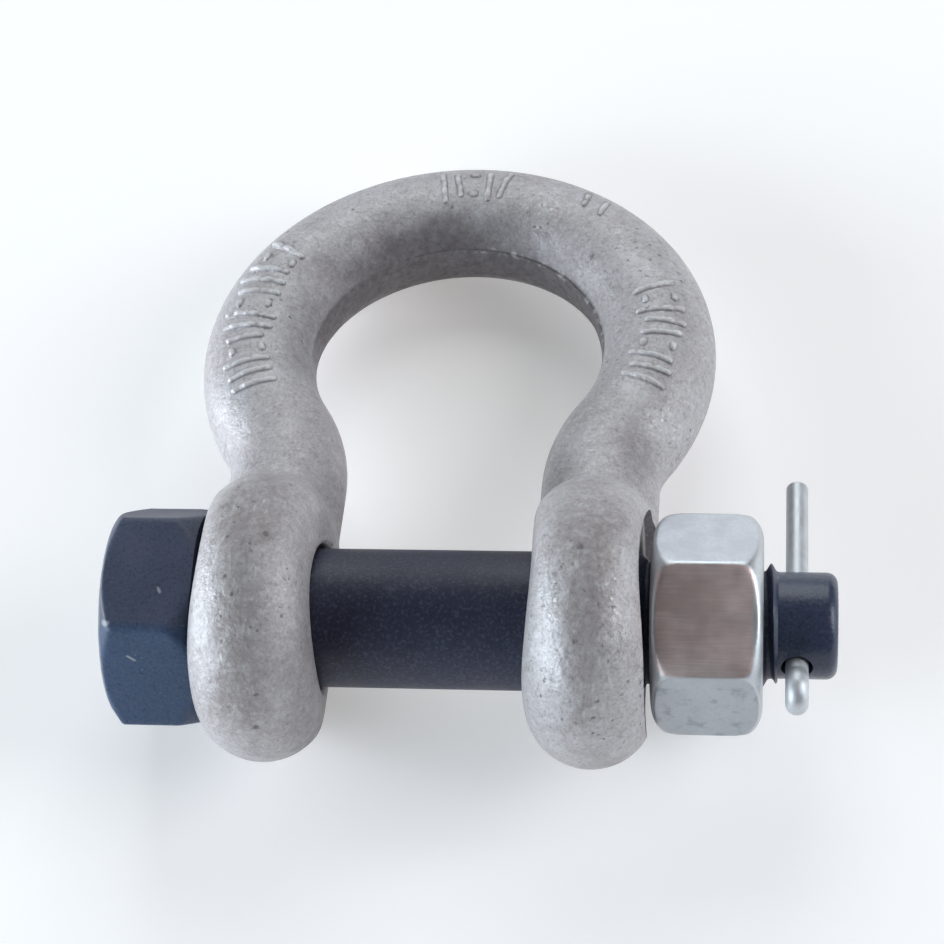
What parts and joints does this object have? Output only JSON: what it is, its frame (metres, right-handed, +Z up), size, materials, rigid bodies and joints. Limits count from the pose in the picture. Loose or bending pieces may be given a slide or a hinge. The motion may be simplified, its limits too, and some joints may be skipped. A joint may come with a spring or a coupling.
{
  "type": "bolt type bow shackle",
  "caption": "Forged bow shackle with a hex-headed bolt across its ears, held by a hex nut and a split cotter, for joining chain, rope and lifting gear.",
  "frame": {"origin": "middle of the bolt's bearing length between the ears, on the bolt's axis", "axes": "+X along the bolt from head to nut, +Y from the bolt towards the top of the bow, +Z up as the shackle lies on its ears and bow"},
  "size_m": [0.1309, 0.1417, 0.0532],
  "materials": {
    "galvanised_steel": "hot-dip galvanised, matt light grey, mottled and lightly stained",
    "painted_steel": "dark blue-black satin paint, chipped at the bevel of the head",
    "zinc_nut": "bright zinc with a brownish passivated cast on the flats",
    "zinc_wire": "bright zinc plated wire"
  },
  "bodies": {
    "body": {"shackle_body": "galvanised_steel"},
    "bolt": {"bolt": "painted_steel"},
    "nut": {"hex_nut": "zinc_nut"},
    "cotter": {"cotter_pin": "zinc_wire"}
  },
  "joints": [
    {"name": "bolt_turn", "type": "hinge", "parent": "body", "child": "bolt", "pos_m": [0, 0, 0], "axis": [1, 0, 0], "continuous": true},
    {"name": "nut_turn", "type": "hinge", "parent": "bolt", "child": "nut", "pos_m": [0.05095, 0, 0], "axis": [1, 0, 0], "range_deg": [0, 500]},
    {"name": "cotter_pull", "type": "slide", "parent": "bolt", "child": "cotter", "axis": [0, -0.9892, 0.1465], "range_m": [0, 0.0449]}
  ]
}
